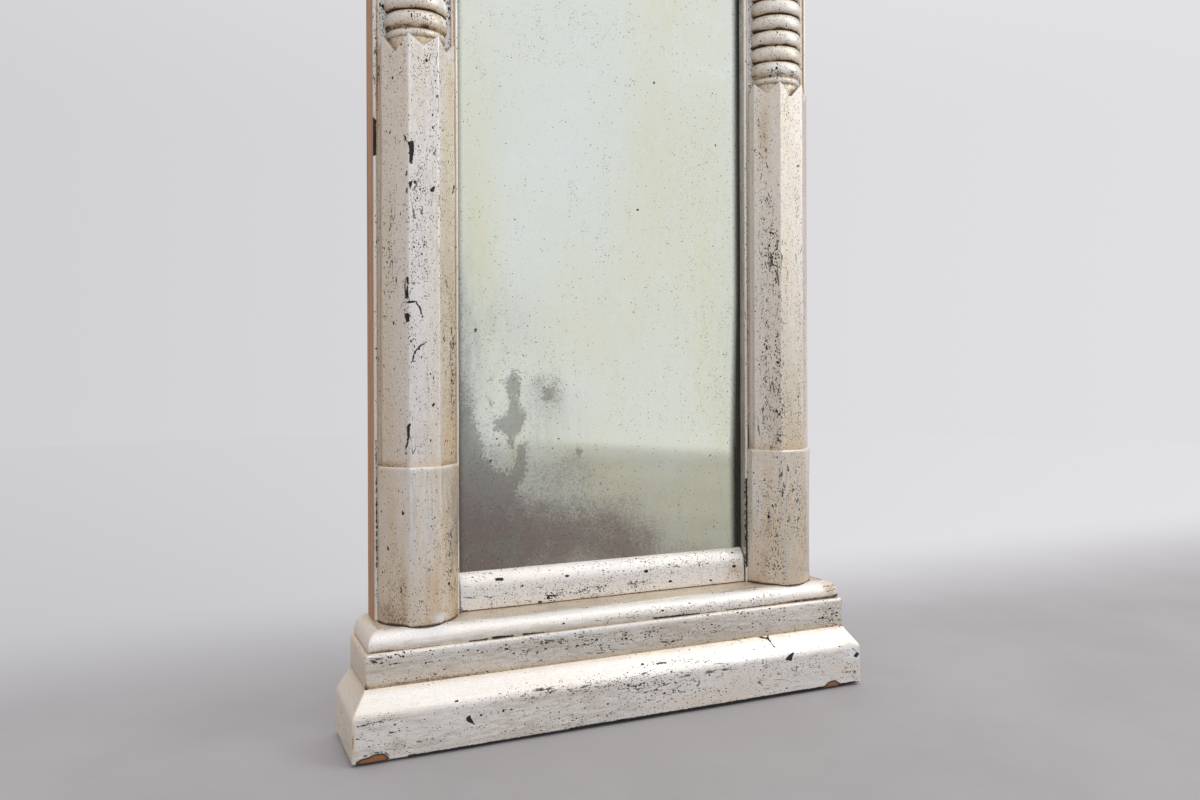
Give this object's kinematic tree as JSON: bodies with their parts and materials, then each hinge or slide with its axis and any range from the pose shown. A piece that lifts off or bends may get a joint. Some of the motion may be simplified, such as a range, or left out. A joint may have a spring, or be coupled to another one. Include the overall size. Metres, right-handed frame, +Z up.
{
  "type": "pier mirror",
  "caption": "Tall narrow floor mirror: half-octagonal columns with ring turnings beside the plate, on a stepped plinth, under a matching entablature.",
  "frame": {"origin": "centre of the base on the floor: middle of the overall width and depth", "axes": "+Z up, the glass faces -Y, the back plane is towards +Y, +X to the right seen from the front"},
  "size_m": [0.64, 0.106, 1.756],
  "materials": {
    "silver_leaf": "aged silver leaf over gesso on pine, satin, with dark pinholes",
    "stained_pine": "bare stained pine, matt",
    "old_pine": "rough old pine, matt",
    "peg_wood": "end grain, matt",
    "mirror_plate": "old silvered plate, pale green, spotted and desilvered in one corner",
    "iron": "darkened iron, satin"
  },
  "bodies": {
    "frame": {"stile_left": "stained_pine", "stile_right": "stained_pine", "bottom_rail": "stained_pine", "top_rail": "stained_pine", "tenon_pegs": "peg_wood", "backboard_left": "old_pine", "backboard_middle": "old_pine", "backboard_right": "old_pine", "backboard_nails": "iron", "glazing_blocks": "old_pine", "mirror_plate": "mirror_plate", "sill_moulding": "silver_leaf", "head_moulding": "silver_leaf", "outer_bead_left": "silver_leaf", "outer_bead_right": "silver_leaf", "inner_bead_left": "silver_leaf", "inner_bead_right": "silver_leaf", "foot_left": "silver_leaf", "foot_right": "silver_leaf", "lower_shaft_left": "silver_leaf", "lower_shaft_right": "silver_leaf", "ring_turning_left": "silver_leaf", "ring_turning_right": "silver_leaf", "upper_shaft_left": "silver_leaf", "upper_shaft_right": "silver_leaf", "capital_left": "silver_leaf", "capital_right": "silver_leaf", "plinth_board_front": "silver_leaf", "plinth_board_left": "silver_leaf", "plinth_board_right": "silver_leaf", "plinth_step_front": "silver_leaf", "plinth_step_left": "silver_leaf", "plinth_step_right": "silver_leaf", "plinth_cap_front": "silver_leaf", "plinth_cap_left": "silver_leaf", "plinth_cap_right": "silver_leaf", "plinth_blocks": "old_pine", "frieze_board_front": "silver_leaf", "frieze_board_left": "silver_leaf", "frieze_board_right": "silver_leaf", "cornice_front": "silver_leaf", "cornice_left": "silver_leaf", "cornice_right": "silver_leaf", "architrave_front": "silver_leaf", "architrave_left": "silver_leaf", "architrave_right": "silver_leaf", "frieze_blocks": "old_pine", "top_board": "old_pine", "hanger_plate_left": "iron", "hanger_plate_right": "iron", "hanger_screws": "iron"},
    "ring_left": {"hanger_ring_left": "iron"},
    "ring_right": {"hanger_ring_right": "iron"}
  },
  "joints": [
    {"name": "ring_left_swing", "type": "hinge", "parent": "frame", "child": "ring_left", "pos_m": [-0.12, 0.044, 1.696], "axis": [1, 0, 0], "range_deg": [0, 180]},
    {"name": "ring_right_swing", "type": "hinge", "parent": "frame", "child": "ring_right", "pos_m": [0.12, 0.044, 1.696], "axis": [1, 0, 0], "range_deg": [0, 180]}
  ]
}
